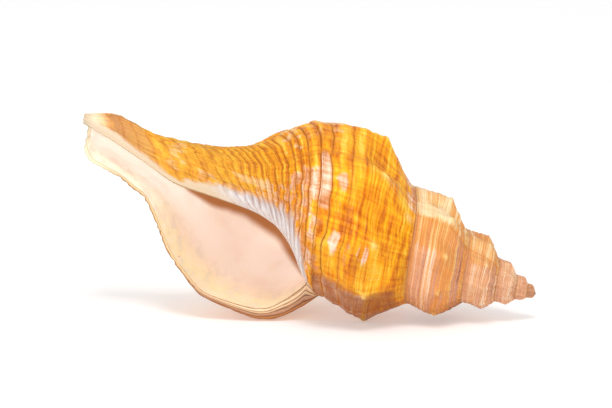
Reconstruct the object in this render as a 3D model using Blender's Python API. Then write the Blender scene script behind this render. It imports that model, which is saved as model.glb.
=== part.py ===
# A conch shell, as one solid body with an open mouth and an open canal.
#
# The shell is built the way it grew. A section, from the seam of a whorl down to the end
# of the canal, is carried round the axis and made larger at a constant rate. "Back" is
# counted in turns from the lip: 0 at the lip, 1 one whorl earlier, and so on to the apex.
# A point of a section is given by its distance down the axis from the apex and its radius.

import math

import bmesh
import bpy
import numpy as np

# Driving dimensions, in metres
MM = 0.001
SEAM_AT_LIP = 65.1 * MM  # virtual apex to the seam of the last whorl, at the lip
VIRTUAL_APEX = 2.5 * MM  # the growth law starts this far above the real tip
GROWTH = 1.69  # the growth from one turn to the next
APEX_BACK = 6.25  # turns from the lip back to the tip

# The pose on the floor, in degrees
AXIS_RISE = 21.1  # the canal end points up by this much
MOUTH_UP = 12.7  # the mouth is turned this much above the horizontal

# Nodules on the shoulder
COLUMNS = 56  # mesh columns in a turn
NODULE_PITCH_OLD = 6 / COLUMNS  # turns from one nodule to the next on the spire
NODULE_PITCH_NEW = 7 / COLUMNS  # the same on the last whorl
NODULE_START = 43 / COLUMNS  # the nodule where the pitch changes
NODULE_HEIGHT = 0.095  # of the distance from the virtual apex
NODULE_AT = 0.36  # place on the upper section, 0 at the seam and 1 at the next seam
NODULE_REACH_UP = 0.15  # how far a nodule spreads towards the seam, in places
NODULE_REACH_DOWN = 0.34
NODULE_FADE = (0.05, 0.35)  # turns back over which the nodules fade in behind the lip

# Upper section: radius as a share of the distance from the virtual apex
UPPER_PLACES = (0.0, 0.12, 0.25, 0.38, 0.50, 0.72, 1.0)
UPPER_BACK = (0.0, 0.5, 1.0, 1.5, 2.0, 3.0, 6.5)
UPPER_RADII = (
    (0.370, 0.478, 0.553, 0.577, 0.578, 0.572, 0.474),
    (0.375, 0.435, 0.535, 0.603, 0.614, 0.590, 0.530),
    (0.410, 0.490, 0.595, 0.685, 0.690, 0.650, 0.625),
    (0.405, 0.490, 0.610, 0.695, 0.700, 0.670, 0.634),
    (0.430, 0.530, 0.660, 0.735, 0.745, 0.720, 0.693),
    (0.430, 0.540, 0.670, 0.735, 0.745, 0.720, 0.727),
    (0.430, 0.560, 0.670, 0.710, 0.720, 0.710, 0.727),
)

# Lower section, from the line of the next seam to the canal end: (distance, radius) in mm
LOWER_BACK = (0.0, 0.25, 0.5, 0.75, 1.0)
LOWER_POINTS = (
    ((107.5, 30.9), (111.7, 27.5), (115.1, 23.9), (118.5, 20.2), (121.6, 17.3), (124.7, 15.1),
     (128.4, 14.2), (133.3, 13.2), (137.9, 13.1), (141.6, 12.8), (144.4, 11.7), (146.6, 8.9)),
    ((94.0, 28.7), (98.1, 25.0), (101.8, 21.6), (104.9, 17.9), (108.9, 14.2), (113.6, 11.7),
     (119.1, 9.9), (125.6, 8.6), (132.7, 8.0), (139.5, 7.7), (144.7, 6.5), (148.7, 3.7)),
    ((82.1, 26.5), (85.8, 23.5), (89.5, 20.4), (92.6, 16.4), (97.2, 12.3), (102.8, 9.6),
     (110.5, 7.4), (118.8, 5.7), (128.4, 4.2), (137.6, 4.3), (144.4, 3.4), (150.3, 1.1)),
    ((71.7, 25.3), (75.0, 23.1), (78.4, 20.4), (81.5, 16.4), (86.4, 12.0), (92.6, 8.6),
     (100.9, 6.8), (110.8, 6.2), (121.9, 5.2), (133.0, 4.3), (142.0, 3.4), (150.0, 1.2)),
    ((62.6, 24.1), (65.4, 22.2), (68.2, 19.8), (71.6, 15.7), (75.9, 11.7), (82.7, 7.9),
     (91.7, 6.3), (103.4, 6.6), (115.1, 7.2), (128.1, 4.7), (139.5, 3.4), (149.4, 1.4)),
)
LAST = len(LOWER_POINTS[0]) - 1

# Spiral grooves of the base, which part the flat cords
GROOVES = (0.36, 1.3, 1.95, 2.5, 3.05, 3.6)  # places on the lower section
GROOVE_DEPTHS = (0.50 * MM, 0.50 * MM, 0.45 * MM, 0.45 * MM, 0.40 * MM, 0.30 * MM)
GROOVE_HALF_WIDTH = 0.28

# The glazed ledge where the body turns into the mouth
LEDGE_HEIGHT = 0.5 * MM
LEDGE_TURNS = 0.03
LEDGE_PLACES = (2.5, 5.5)  # places on the lower section over which it rises

# The line that the section turns about: it leans a little, and the canal is bent up
CENTRE_DISTANCES = tuple(MM * d for d in (0.0, 8.0, 30.0, 60.0, 115.0, 128.0, 140.0, 151.0))
CENTRE_RISES = tuple(MM * r for r in (1.0, 0.0, -0.6, 0.0, 0.0, 0.5, 2.0, 1.4))

# The hollow behind the mouth
HOLLOW_BACK = 42 / COLUMNS  # turns that it goes back from the lip
CANAL_BACK = 17 / COLUMNS  # turns over which the canal is open at its end
HOLLOW_TURNS = (0.0, 0.15, CANAL_BACK, 0.5, HOLLOW_BACK)
HOLLOW_ENDS = (190.0 * MM, 165.0 * MM, 148.6 * MM, 108.0 * MM, 84.0 * MM)
WALL = 1.9 * MM
WALL_TURNS = 0.05  # turns back over which the wall reaches its full thickness
LEAST_WALL = 1.5 * MM  # between two nodules, where the outside comes inwards
LIP_EDGE = 1.2 * MM
LIP_CORNER = 5.0 * MM  # at the seam, where the lip is in layers
LIP_LAYERS = 0.26  # share of the lip over which it thins to its edge
CLOSING_RUN = 12.0 * MM  # the hollow narrows over this distance before its end
CLOSING_TURNS = 0.2  # and over this many turns before the furthest column
BACK_GAP = 0.01  # turns past the furthest column at which it would close
LEAST_GAP = 0.2 * MM

# Mesh rows of the upper and the lower section
UPPER_ROWS = (0.0, 0.12, 0.24, 0.36, 0.50, 0.72, 1.0)
LOWER_ROWS = (0.36, 1.0, 1.3, 1.6, 1.7, 1.95, 2.22, 2.5, 2.78, 3.05, 3.32, 3.6, 3.9, 4.4, 5.0,
              5.6, 6.3, 7.1, 8.0, 9.0, 10.0, 11.0)
HOLLOW_FIRST = 4  # the lower row at which the hollow starts
OUTER_ROWS = 17  # mesh rows under the wall of the hollow
UPPER_SAMPLES = 60  # samples of a section that the wall is offset from
LOWER_SAMPLES = 160


def through(x, xs, ys):
    """A smooth line through the points (xs, ys), with no overshoot, read at x."""
    xs = np.asarray(xs, float)
    ys = np.asarray(ys, float)
    x = np.clip(np.asarray(x, float), xs[0], xs[-1])
    wide = (-1,) + (1,) * (ys.ndim - 1)
    step = np.diff(xs)
    slope = np.diff(ys, axis=0) / step.reshape(wide)
    same = slope[:-1] * slope[1:] > 0
    total = np.where(same, slope[:-1] + slope[1:], 1.0)
    inner = np.where(same, 2 * slope[:-1] * slope[1:] / total, 0.0)
    tangent = np.concatenate([slope[:1], inner, slope[-1:]])
    i = np.clip(np.searchsorted(xs, x, side="right") - 1, 0, len(xs) - 2)
    wide = x.shape + (1,) * (ys.ndim - 1)
    t = ((x - xs[i]) / step[i]).reshape(wide)
    run = step[i].reshape(wide)
    return (
        (1 + 2 * t) * (1 - t) ** 2 * ys[i]
        + t * (1 - t) ** 2 * run * tangent[i]
        + t * t * (3 - 2 * t) * ys[i + 1]
        + t * t * (t - 1) * run * tangent[i + 1]
    )


def size(back):
    """Distance from the virtual apex to the seam."""
    return SEAM_AT_LIP * GROWTH ** (-np.asarray(back, float))


def nodule(back):
    """1 at the tip of a nodule and 0 midway between two."""
    pitch = np.where(back > NODULE_START, NODULE_PITCH_OLD, NODULE_PITCH_NEW)
    return np.cos(np.pi * (back - NODULE_START) / pitch) ** 2


def upper_section(back, places, carved=True):
    """(distance, radius) from the seam to the line of the next seam, as rows by columns."""
    back = np.asarray(back, float)
    places = np.asarray(places, float)
    shares = through(places, UPPER_PLACES, through(back, UPPER_BACK, UPPER_RADII).T)
    distance = size(back) * (1 + (GROWTH - 1) * places[:, None]) - VIRTUAL_APEX
    if carved:
        off = places[:, None] - NODULE_AT
        spread = np.where(off < 0, NODULE_REACH_UP, NODULE_REACH_DOWN)
        fade = np.interp(back, NODULE_FADE, (0, 1))
        between = (1 - nodule(back)) * np.exp(-((off / spread) ** 2)) * fade
        shares = shares - NODULE_HEIGHT * between
    return np.stack([distance, shares * size(back)], axis=-1)


def ledge(back, places):
    """Height of the ledge, which fades out up the base."""
    rise = np.interp(places, LEDGE_PLACES, (0, 1))
    return LEDGE_HEIGHT * rise[:, None] * np.exp(-(((back - 1) / LEDGE_TURNS) ** 2))


def lower_section(back, places, carved=True):
    """(distance, radius) from the line of the next seam to the canal end, place 0 to LAST."""
    back = np.asarray(back, float)
    places = np.asarray(places, float)
    points = through(back, LOWER_BACK, np.array(LOWER_POINTS) * MM)
    points[:, 0] = upper_section(back, [1.0], carved=False)[0]
    section = through(places, range(LAST + 1), np.moveaxis(points, 1, 0))
    if carved:
        for groove, depth in zip(GROOVES, GROOVE_DEPTHS):
            cut = np.clip(1 - np.abs(places - groove) / GROOVE_HALF_WIDTH, 0, 1)
            section[..., 1] -= depth * cut[:, None]
        section[..., 1] += ledge(back, places)
    return section


def hollow_top(back):
    """Distance down the axis at which the hollow starts, on the whorl before."""
    return size(back) - VIRTUAL_APEX + LIP_CORNER * GROWTH ** (-back)


def hollow_end(back):
    """Distance down the axis at which the hollow would close, past the canal end near the lip."""
    return through(back, HOLLOW_TURNS, HOLLOW_ENDS)


def inner_side(back, places):
    """The side of the hollow next to the axis: the whorl before, growing smaller inwards."""
    back = np.asarray(back, float)
    places = np.asarray(places, float)
    first = lower_section(np.ones(1), places, carved=False)[:, 0]
    share = (first[:, 0] - first[0, 0]) / (first[-1, 0] - first[0, 0])
    top = hollow_top(back)
    end = np.minimum(hollow_end(back), first[-1, 0])
    distance = top + share[:, None] * (end - top)
    radius = first[:, 1, None] * GROWTH ** (-back) + ledge(1 + back, places)
    return np.stack([distance, radius], axis=-1)


def wall_thickness(back, along):
    """Thin at the lip edge and thicker inwards and near the seam. along is 0 at the seam."""
    inward = 1 - np.exp(-back / WALL_TURNS)
    edge = LIP_EDGE + (LIP_CORNER - LIP_EDGE) * np.exp(-((along / LIP_LAYERS) ** 2))
    return edge + (WALL - LIP_EDGE) * inward


def resample(points, shares):
    """Points of a line at the given shares of its length."""
    step = np.hypot(*np.diff(points, axis=0).T)
    run = np.concatenate([[0], np.cumsum(step)])
    run /= run[-1]
    return np.stack([np.interp(shares, run, points[:, i]) for i in range(2)], axis=1)


def outer_side(back, inner, shares, closed):
    """The side of the hollow under the wall, as a list of points for one column.

    Where closed, the line ends on the inner side, and otherwise the canal is open there.
    """
    column = np.array([back])
    dense = np.concatenate([
        upper_section(column, np.linspace(0, 1, UPPER_SAMPLES), carved=False)[:-1, 0],
        lower_section(column, np.linspace(0, LAST, LOWER_SAMPLES), carved=False)[:, 0],
    ])
    tangent = np.gradient(dense, axis=0)
    normal = np.stack([-tangent[:, 1], tangent[:, 0]], axis=1)
    normal /= np.linalg.norm(normal, axis=1)[:, None]
    step = np.hypot(*np.diff(dense, axis=0).T)
    along = np.concatenate([[0], np.cumsum(step)]) / step.sum()
    dense = dense - normal * wall_thickness(back, along)[:, None]
    carved = upper_section(column, np.linspace(0, 1, UPPER_SAMPLES))[:, 0]
    room = np.interp(dense[:, 0], carved[:, 0], carved[:, 1], right=1.0) - LEAST_WALL
    dense[:, 1] = np.minimum(dense[:, 1], room)
    core = np.interp(dense[:, 0], inner[:, 0], inner[:, 1])
    open_share = np.sqrt(np.clip((hollow_end(back) - dense[:, 0]) / CLOSING_RUN, 0, 1))
    open_share *= np.sqrt(np.clip((HOLLOW_BACK + BACK_GAP - back) / CLOSING_TURNS, 0, 1))
    dense[:, 1] = core + (dense[:, 1] - core) * open_share
    clear = dense[:, 1] > core + LEAST_GAP
    clear &= (dense[:, 0] > inner[0, 0]) & (dense[:, 0] < inner[-1, 0])
    line = [inner[:1], dense[clear]] + ([inner[-1:]] if closed else [])
    return resample(np.concatenate(line), shares)


def in_place(back, points):
    """World position of (distance, radius) points whose last axis but one matches back."""
    turn = np.pi + 2 * np.pi * np.asarray(back, float)
    distance = points[..., 0]
    up = points[..., 1] * np.cos(turn) + np.interp(distance, CENTRE_DISTANCES, CENTRE_RISES)
    away = -points[..., 1] * np.sin(turn)
    rise = math.radians(AXIS_RISE)
    side = -distance * math.cos(rise) + up * math.sin(rise)
    height = distance * math.sin(rise) + up * math.cos(rise)
    tilt = math.radians(MOUTH_UP)
    depth = away * math.cos(tilt) + height * math.sin(tilt)
    height = -away * math.sin(tilt) + height * math.cos(tilt)
    return np.stack([side, depth, height], axis=-1)


class Shape:
    """Points and faces of one mesh."""

    def __init__(self):
        self.points = []
        self.faces = []

    def add(self, points):
        """Adds points of any grid shape and returns their numbers in the same shape."""
        flat = np.asarray(points).reshape(-1, 3)
        start = len(self.points)
        self.points.extend(flat.tolist())
        return np.arange(start, start + len(flat)).reshape(np.asarray(points).shape[:-1])

    def sheet(self, grid):
        """Faces between neighbours of a grid of point numbers."""
        for row in range(grid.shape[0] - 1):
            for column in range(grid.shape[1] - 1):
                a, b = grid[row, column], grid[row, column + 1]
                c, d = grid[row + 1, column + 1], grid[row + 1, column]
                self.face((a, b, c, d))

    def face(self, corners):
        """Adds a face, leaving out a corner that comes twice."""
        kept = []
        for corner in corners:
            if corner not in kept:
                kept.append(int(corner))
        if len(kept) > 2:
            self.faces.append(kept)

    def zip(self, first, second):
        """Fills between two chains of points with triangles, side by side along both."""
        runs = []
        for chain in (first, second):
            places = np.array([self.points[i] for i in chain])
            run = np.concatenate([[0], np.cumsum(np.linalg.norm(np.diff(places, axis=0), axis=1))])
            runs.append(run / run[-1])
        i = j = 0
        while i < len(first) - 1 or j < len(second) - 1:
            one = runs[0][i + 1] if i < len(first) - 1 else 2.0
            two = runs[1][j + 1] if j < len(second) - 1 else 2.0
            if one <= two:
                self.face((first[i], first[i + 1], second[j]))
                i += 1
            else:
                self.face((first[i], second[j + 1], second[j]))
                j += 1


def build_shell():
    """The whole surface: the outside, the hollow, the lip edge and the canal end."""
    shape = Shape()
    turns = int(APEX_BACK * COLUMNS)
    backs = np.arange(turns, -1, -1) / COLUMNS
    upper = in_place(backs, upper_section(backs, UPPER_ROWS))
    tip = shape.add(in_place(np.zeros(1), np.zeros((1, 2))))[0]
    grid = np.zeros((len(UPPER_ROWS), len(backs)), int)
    grid[1:] = shape.add(upper[1:])
    grid[0, :COLUMNS + 1] = tip
    grid[:, 0] = tip
    grid[0, COLUMNS + 1:] = grid[-1, 1:-COLUMNS]
    shape.sheet(grid)

    last_turn = backs[-COLUMNS - 1:]
    lower = np.zeros((len(LOWER_ROWS) + 1, COLUMNS + 1), int)
    lower[0] = grid[-1, -COLUMNS - 1:]
    lower[1:] = shape.add(in_place(last_turn, lower_section(last_turn, LOWER_ROWS)))
    shape.sheet(lower)

    hollow_columns = int(round(HOLLOW_BACK * COLUMNS))
    canal_columns = int(round(CANAL_BACK * COLUMNS))
    into = np.arange(0, hollow_columns + 1) / COLUMNS
    inner_points = inner_side(into, LOWER_ROWS[HOLLOW_FIRST:])
    inner = np.zeros((len(inner_points), len(into)), int)
    inner[:, 0] = lower[HOLLOW_FIRST + 1:, 0]
    inner[:, 1:] = shape.add(in_place(into[1:], inner_points[:, 1:]))
    shape.sheet(inner)

    shares = np.linspace(0, 1, OUTER_ROWS)
    outer = np.zeros((len(shares), len(into)), int)
    for column, back in enumerate(into):
        closed = column >= canal_columns
        line = outer_side(back, inner_points[:, column], shares, closed)
        outer[:, column] = shape.add(in_place(np.full(len(line), back), line))
        outer[0, column] = inner[0, column]
        if closed:
            outer[-1, column] = inner[-1, column]
    shape.sheet(outer)
    shape.zip(inner[:, -1], outer[:, -1])

    edge = list(grid[:, -1]) + list(lower[1:, -1])
    shape.zip(edge, list(lower[:HOLLOW_FIRST + 1, 0]) + list(outer[:, 0]))

    end = lower[-1, ::-1]
    for column in range(canal_columns):
        shape.face((end[column], end[column + 1], outer[-1, column + 1], outer[-1, column]))
    ring = list(end[canal_columns:]) + list(inner[-1, 1:canal_columns + 1])
    middle = shape.add(np.mean([shape.points[i] for i in ring], axis=0)[None])[0]
    for one, two in zip(ring, ring[1:] + ring[:1]):
        shape.face((one, two, middle))
    return shape


def main():
    for item in list(bpy.data.objects):
        bpy.data.objects.remove(item)
    shape = build_shell()
    points = np.array(shape.points)
    used = sorted({corner for face in shape.faces for corner in face})
    number = {old: new for new, old in enumerate(used)}
    points = points[used]
    low, high = points.min(axis=0), points.max(axis=0)
    points -= np.array([(low[0] + high[0]) / 2, (low[1] + high[1]) / 2, low[2]])
    mesh = bpy.data.meshes.new("shell")
    mesh.from_pydata(points.tolist(), [], [[number[c] for c in face] for face in shape.faces])
    work = bmesh.new()
    work.from_mesh(mesh)
    bmesh.ops.recalc_face_normals(work, faces=work.faces)
    if work.calc_volume(signed=True) < 0:
        bmesh.ops.reverse_faces(work, faces=work.faces)
    work.to_mesh(mesh)
    work.free()
    mesh.shade_smooth()
    shell = bpy.data.objects.new("shell", mesh)
    bpy.context.scene.collection.objects.link(shell)
    material = bpy.data.materials.new("shell")
    material.use_nodes = True
    surface = material.node_tree.nodes["Principled BSDF"]
    surface.inputs["Base Color"].default_value = (0.80, 0.42, 0.13, 1.0)
    surface.inputs["Roughness"].default_value = 0.35
    mesh.materials.append(material)


main()
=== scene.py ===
# %% [markdown]
# # A conch shell, grown by a rule
#
# A sea shell is one of the few natural things whose shape is nearly a formula. The animal adds
# a little shell at the lip, turns a little round the axis, and is a little bigger each time.
# This lesson builds that shape as one mesh, cuts its ribs with Geometry Nodes, and then paints
# it with nodes that read how old each spot is and where it lies between seam and canal.
#
# The packed CAD model is loaded first. It is the fixed frame: the finished shell has to fill
# the same box.

import math

import bpy
import mathutils
import numpy as np
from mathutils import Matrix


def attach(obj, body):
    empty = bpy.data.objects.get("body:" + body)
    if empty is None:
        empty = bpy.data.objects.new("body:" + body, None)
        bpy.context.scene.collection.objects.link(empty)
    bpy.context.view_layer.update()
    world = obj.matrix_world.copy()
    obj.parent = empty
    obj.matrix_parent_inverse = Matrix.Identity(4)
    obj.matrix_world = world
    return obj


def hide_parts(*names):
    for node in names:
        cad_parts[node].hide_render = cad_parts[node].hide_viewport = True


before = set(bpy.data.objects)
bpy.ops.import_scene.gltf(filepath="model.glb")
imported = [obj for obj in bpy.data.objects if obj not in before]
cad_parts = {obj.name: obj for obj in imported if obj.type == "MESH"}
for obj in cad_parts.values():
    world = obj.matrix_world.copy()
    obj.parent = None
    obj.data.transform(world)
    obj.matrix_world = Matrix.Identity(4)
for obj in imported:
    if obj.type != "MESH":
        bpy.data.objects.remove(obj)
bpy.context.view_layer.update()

# %% [markdown]
# ## The camera
#
# The photo was taken from a little above the table through a long lens, so lines hardly converge.
# The shell lies with its mouth turned up a little, and the camera looks down by as much.

# %% Camera
MM = 0.001
MOUTH_UP = math.radians(12.7)
PHOTO_WIDTH, PHOTO_HEIGHT = 612, 408
METRES_PER_PIXEL = 0.3086 * MM
CAMERA_DISTANCE = 1.6
LOOK_AT = (-0.0012, -0.0013, 0.0354)

camera_data = bpy.data.cameras.new("camera")
camera_data.sensor_width = 36.0
camera_data.lens = 36.0 * CAMERA_DISTANCE / (PHOTO_WIDTH * METRES_PER_PIXEL)
camera = bpy.data.objects.new("camera", camera_data)
camera.location = (
    LOOK_AT[0],
    LOOK_AT[1] - CAMERA_DISTANCE * math.cos(MOUTH_UP),
    LOOK_AT[2] + CAMERA_DISTANCE * math.sin(MOUTH_UP),
)
camera.rotation_euler = (math.pi / 2 - MOUTH_UP, 0, 0)
bpy.context.scene.collection.objects.link(camera)
bpy.context.scene.camera = camera
print("lens, mm:", round(camera_data.lens))

# %% [markdown]
# ## The law of growth
#
# "Back" counts the turns from the lip: 0 at the lip, 1 one whorl earlier, and so on up to the
# tip. One number sets the growth of a turn. A section of the shell, from the seam down to the
# end of the canal, is a smooth line through a few points, and it changes slowly with age.

# %% Smooth lines through a few points


def through(x, xs, ys):
    """A smooth line through the points (xs, ys), with no overshoot, read at x."""
    xs = np.asarray(xs, float)
    ys = np.asarray(ys, float)
    x = np.clip(np.asarray(x, float), xs[0], xs[-1])
    wide = (-1,) + (1,) * (ys.ndim - 1)
    step = np.diff(xs)
    slope = np.diff(ys, axis=0) / step.reshape(wide)
    same = slope[:-1] * slope[1:] > 0
    total = np.where(same, slope[:-1] + slope[1:], 1.0)
    inner = np.where(same, 2 * slope[:-1] * slope[1:] / total, 0.0)
    tangent = np.concatenate([slope[:1], inner, slope[-1:]])
    i = np.clip(np.searchsorted(xs, x, side="right") - 1, 0, len(xs) - 2)
    wide = x.shape + (1,) * (ys.ndim - 1)
    t = ((x - xs[i]) / step[i]).reshape(wide)
    run = step[i].reshape(wide)
    return (
        (1 + 2 * t) * (1 - t) ** 2 * ys[i]
        + t * (1 - t) ** 2 * run * tangent[i]
        + t * t * (3 - 2 * t) * ys[i + 1]
        + t * t * (t - 1) * run * tangent[i + 1]
    )


def smooth_step(value, low, high):
    """0 below low, 1 above high, and a soft slope between."""
    t = np.clip((np.asarray(value, float) - low) / (high - low), 0, 1)
    return t * t * (3 - 2 * t)


print("half way between two points:", through([0.5], (0, 1, 2), (0, 1, 4)))

# %% Growth and the upper section
SEAM_AT_LIP = 65.1 * MM
VIRTUAL_APEX = 2.5 * MM  # the rule grows from a point this far above the tip
GROWTH = 1.69  # in a turn
APEX_BACK = 6.25  # turns from the lip to the tip
NODULE_PITCH_OLD = 6 / 56  # turns between two nodules of the spire
NODULE_PITCH_NEW = 7 / 56  # and of the last whorl
NODULE_START = 43 / 56  # the nodule at which the pitch changes
NODULE_HEIGHT = 0.095  # a share of the size there, as the radii below are
NODULE_AT = 0.36  # place between two seams
NODULE_ABOVE, NODULE_BELOW = 0.15, 0.34  # how far the hollows between nodules reach
NODULE_FADE_FROM = 0.05
NODULE_FADE_TURNS = 0.3
UPPER_PLACES = (0.0, 0.12, 0.25, 0.38, 0.50, 0.72, 1.0)
UPPER_BACK = (0.0, 0.5, 1.0, 1.5, 2.0, 3.0, 6.5)
UPPER_RADII = (  # a line for each of UPPER_BACK, a column for each of UPPER_PLACES
    (0.370, 0.478, 0.553, 0.577, 0.578, 0.572, 0.474),
    (0.375, 0.435, 0.535, 0.603, 0.614, 0.590, 0.530),
    (0.410, 0.490, 0.595, 0.685, 0.690, 0.650, 0.625),
    (0.405, 0.490, 0.610, 0.695, 0.700, 0.670, 0.634),
    (0.430, 0.530, 0.660, 0.735, 0.745, 0.720, 0.693),
    (0.430, 0.540, 0.670, 0.735, 0.745, 0.720, 0.727),
    (0.430, 0.560, 0.670, 0.710, 0.720, 0.710, 0.727),
)


def size(back):
    """Distance from the virtual apex to the seam."""
    return SEAM_AT_LIP * GROWTH ** (-np.asarray(back, float))


def nodule(back):
    """1 at the tip of a nodule and 0 midway between two."""
    pitch = np.where(back > NODULE_START, NODULE_PITCH_OLD, NODULE_PITCH_NEW)
    return np.cos(np.pi * (back - NODULE_START) / pitch) ** 2


def upper_section(back, places, carved=True):
    """(distance, radius) from the seam to the line of the next seam, as rows by columns."""
    back = np.asarray(back, float)
    places = np.asarray(places, float)
    shares = through(places, UPPER_PLACES, through(back, UPPER_BACK, UPPER_RADII).T)
    distance = size(back) * (1 + (GROWTH - 1) * places[:, None]) - VIRTUAL_APEX
    if carved:
        off = places[:, None] - NODULE_AT
        spread = np.where(off < 0, NODULE_ABOVE, NODULE_BELOW)
        fade = np.clip((back - NODULE_FADE_FROM) / NODULE_FADE_TURNS, 0, 1)
        between = (1 - nodule(back)) * np.exp(-((off / spread) ** 2)) * fade
        shares = shares - NODULE_HEIGHT * between
    return np.stack([distance, shares * size(back)], axis=-1)


print("whorl sizes from the lip up, mm:", [round(float(size(n)) / MM, 1) for n in range(7)])

# %% The lower section
LOWER_BACK = (0.0, 0.25, 0.5, 0.75, 1.0)
LOWER_POINTS = (  # distance and radius in mm, a block for each of LOWER_BACK
    ((107.5, 30.9), (111.7, 27.5), (115.1, 23.9), (118.5, 20.2), (121.6, 17.3), (124.7, 15.1),
     (128.4, 14.2), (133.3, 13.2), (137.9, 13.1), (141.6, 12.8), (144.4, 11.7), (146.6, 8.9)),
    ((94.0, 28.7), (98.1, 25.0), (101.8, 21.6), (104.9, 17.9), (108.9, 14.2), (113.6, 11.7),
     (119.1, 9.9), (125.6, 8.6), (132.7, 8.0), (139.5, 7.7), (144.7, 6.5), (148.7, 3.7)),
    ((82.1, 26.5), (85.8, 23.5), (89.5, 20.4), (92.6, 16.4), (97.2, 12.3), (102.8, 9.6),
     (110.5, 7.4), (118.8, 5.7), (128.4, 4.2), (137.6, 4.3), (144.4, 3.4), (150.3, 1.1)),
    ((71.7, 25.3), (75.0, 23.1), (78.4, 20.4), (81.5, 16.4), (86.4, 12.0), (92.6, 8.6),
     (100.9, 6.8), (110.8, 6.2), (121.9, 5.2), (133.0, 4.3), (142.0, 3.4), (150.0, 1.2)),
    ((62.6, 24.1), (65.4, 22.2), (68.2, 19.8), (71.6, 15.7), (75.9, 11.7), (82.7, 7.9),
     (91.7, 6.3), (103.4, 6.6), (115.1, 7.2), (128.1, 4.7), (139.5, 3.4), (149.4, 1.4)),
)
LAST = len(LOWER_POINTS[0]) - 1
LEDGE_HEIGHT = 0.5 * MM
LEDGE_TURNS = 0.03  # half its width
LEDGE_FROM = 2.5  # places below the line of the next seam
LEDGE_RISE = 3  # places over which it rises


def ledge(back, places):
    """Height of the glazed ledge where the body turns into the mouth."""
    rise = np.clip((places - LEDGE_FROM) / LEDGE_RISE, 0, 1)
    return LEDGE_HEIGHT * rise[:, None] * np.exp(-(((back - 1) / LEDGE_TURNS) ** 2))


def lower_section(back, places, carved=True):
    """(distance, radius) from the line of the next seam to the canal end, place 0 to LAST."""
    back = np.asarray(back, float)
    places = np.asarray(places, float)
    points = through(back, LOWER_BACK, np.array(LOWER_POINTS) * MM)
    points[:, 0] = upper_section(back, [1.0], carved=False)[0]
    section = through(places, range(LAST + 1), np.moveaxis(points, 1, 0))
    if carved:
        section[..., 1] += ledge(back, places)
    return section


print("canal end at the lip, mm:", np.round(lower_section([0.0], [LAST])[0, 0] / MM, 1))

# %% [markdown]
# ## The hollow
#
# Looking into the mouth, one side is the outside of the whorl before, glazed over, and the
# other is the underside of the new wall. Both are traced for as far back as the eye can see
# in, three quarters of a turn. The canal stays open over the last third of a turn.

# %% The side of the hollow next to the axis
COLUMNS = 168  # mesh columns in a turn
HOLLOW_BACK = 42 / 56  # turns back to where the hollow closes
CANAL_BACK = 17 / 56  # and to where the canal does
HOLLOW_ENDS = ((0.0, 190.0), (0.15, 165.0), (CANAL_BACK, 148.6), (0.5, 108.0), (HOLLOW_BACK, 84.0))
LIP_CORNER = 5.0 * MM  # thickness where the lip meets the seam


def hollow_top(back):
    """Distance down the axis at which the hollow starts, on the whorl before."""
    return size(back) - VIRTUAL_APEX + LIP_CORNER * GROWTH ** (-back)


def hollow_end(back):
    """Distance down the axis at which the hollow would close, past the canal end near the lip."""
    turns, ends = zip(*HOLLOW_ENDS)
    return through(back, turns, MM * np.array(ends))


def inner_side(back, places):
    """The side of the hollow next to the axis: the whorl before, growing smaller inwards."""
    back = np.asarray(back, float)
    places = np.asarray(places, float)
    first = lower_section(np.ones(1), places, carved=False)[:, 0]
    share = (first[:, 0] - first[0, 0]) / (first[-1, 0] - first[0, 0])
    top = hollow_top(back)
    end = np.minimum(hollow_end(back), first[-1, 0])
    distance = top + share[:, None] * (end - top)
    radius = first[:, 1, None] * GROWTH ** (-back) + ledge(1 + back, places)
    return np.stack([distance, radius], axis=-1)


print("the hollow starts and ends at, mm:", round(float(hollow_top(HOLLOW_BACK)) / MM, 1),
      round(float(hollow_end(HOLLOW_BACK)) / MM, 1))

# %% The side of the hollow under the wall
WALL = 1.9 * MM
WALL_TURNS = 0.05  # how fast the wall thickens behind the edge of the lip
LIP_EDGE = 1.2 * MM
LIP_LAYERS = 0.26  # share of the section over which the thick corner thins out
LEAST_WALL = 2.7 * MM  # between two nodules, where the outside comes inwards
LEAST_WALL_TURNS = (0.05, 0.2)  # where it comes in behind the lip
LEAST_WALL_FADE = (0.8, 1.0)  # and where it ends, down the upper section
UPPER_STEPS, LOWER_STEPS = 160, 420
CLOSING_LENGTH = 12 * MM  # over which the hollow narrows to its end
CLOSING_TURNS = 0.2
SPARE_TURNS = 0.01  # the last column still has a slit
CLEARANCE = 0.2 * MM  # a narrower slit is left out


def wall_thickness(back, along):
    """Thin at the lip edge and thicker inwards and near the seam. along is 0 at the seam."""
    inward = 1 - np.exp(-back / WALL_TURNS)
    edge = LIP_EDGE + (LIP_CORNER - LIP_EDGE) * np.exp(-((along / LIP_LAYERS) ** 2))
    return edge + (WALL - LIP_EDGE) * inward


def resample(points, shares):
    """Points of a line at equal shares of its length."""
    step = np.linalg.norm(np.diff(points, axis=0), axis=1)
    run = np.concatenate([[0], np.cumsum(step)]) / step.sum()
    return np.stack([np.interp(shares, run, column) for column in points.T], axis=1)


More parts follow.
